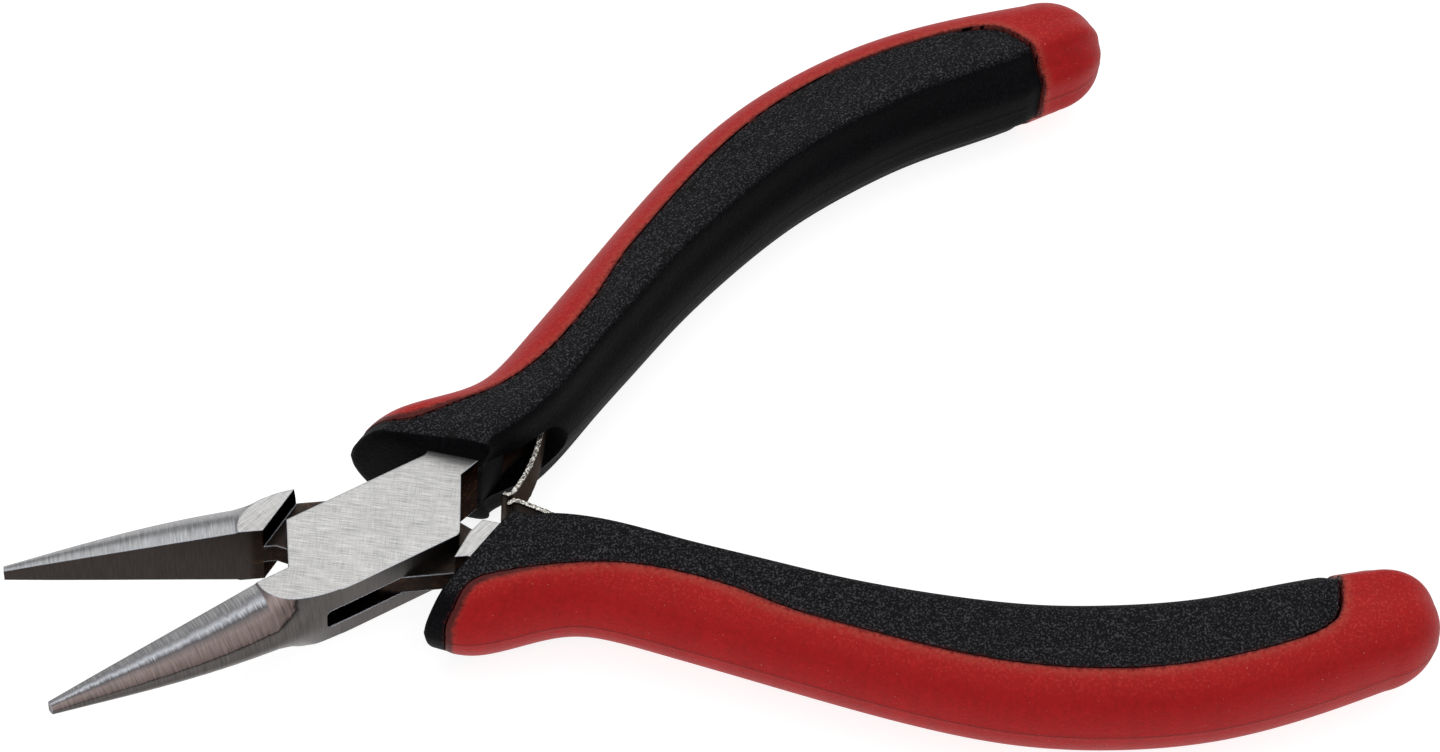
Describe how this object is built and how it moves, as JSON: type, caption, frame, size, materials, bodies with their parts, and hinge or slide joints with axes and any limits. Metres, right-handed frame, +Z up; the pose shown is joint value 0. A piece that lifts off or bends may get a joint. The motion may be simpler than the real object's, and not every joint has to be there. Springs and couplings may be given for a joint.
{
  "type": "chain nose pliers",
  "caption": "Jewellery pliers with flat-faced tapered jaws, a box joint, opposed leaf springs and two-colour moulded grips.",
  "frame": {"origin": "on the pivot's axis, at the flat underside of the joint", "axes": "+Z up along the pivot's axis, +X along the line halfway between the handles from the pivot to their ends, the jaws towards -X"},
  "size_m": [0.131, 0.0936, 0.014],
  "materials": {
    "ground_steel": "ground steel with a satin finish and fine crossing grinding marks",
    "spring_steel": "dark tempered spring steel with bright sheared edges",
    "red_plastic": "satin red moulded plastic",
    "black_rubber": "matt black soft rubber with a fine foam-like grain"
  },
  "bodies": {
    "box_half": {"box_half": "ground_steel", "pivot_rivet": "ground_steel", "box_side_spring_rivet": "spring_steel", "box_side_red_grip": "red_plastic", "box_side_black_pad": "black_rubber"},
    "tongue_half": {"tongue_half": "ground_steel", "tongue_side_spring_rivet": "spring_steel", "tongue_side_red_grip": "red_plastic", "tongue_side_black_pad": "black_rubber"},
    "box_leaf": {"box_side_leaf_spring": "spring_steel"},
    "tongue_leaf": {"tongue_side_leaf_spring": "spring_steel"}
  },
  "joints": [
    {"name": "pivot", "type": "hinge", "parent": "box_half", "child": "tongue_half", "pos_m": [0, 0, 0.0039], "axis": [0, 0, 1], "range_deg": [-6, 25.04], "stiffness_Nm_per_rad": 0.5},
    {"name": "box_leaf_flex", "type": "hinge", "parent": "box_half", "child": "box_leaf", "pos_m": [0.02033, 0.00949, 0.0039], "axis": [0, 0, 1], "range_deg": [-18, 5], "deforming": ["box_side_leaf_spring"]},
    {"name": "tongue_leaf_flex", "type": "hinge", "parent": "tongue_half", "child": "tongue_leaf", "pos_m": [0.02033, -0.00949, 0.0039], "axis": [0, 0, 1], "range_deg": [-5, 18], "deforming": ["tongue_side_leaf_spring"]}
  ],
  "couplings": [
    {"joint": "box_leaf_flex", "follows": "pivot", "ratio": -0.7},
    {"joint": "tongue_leaf_flex", "follows": "pivot", "ratio": 0.7}
  ]
}
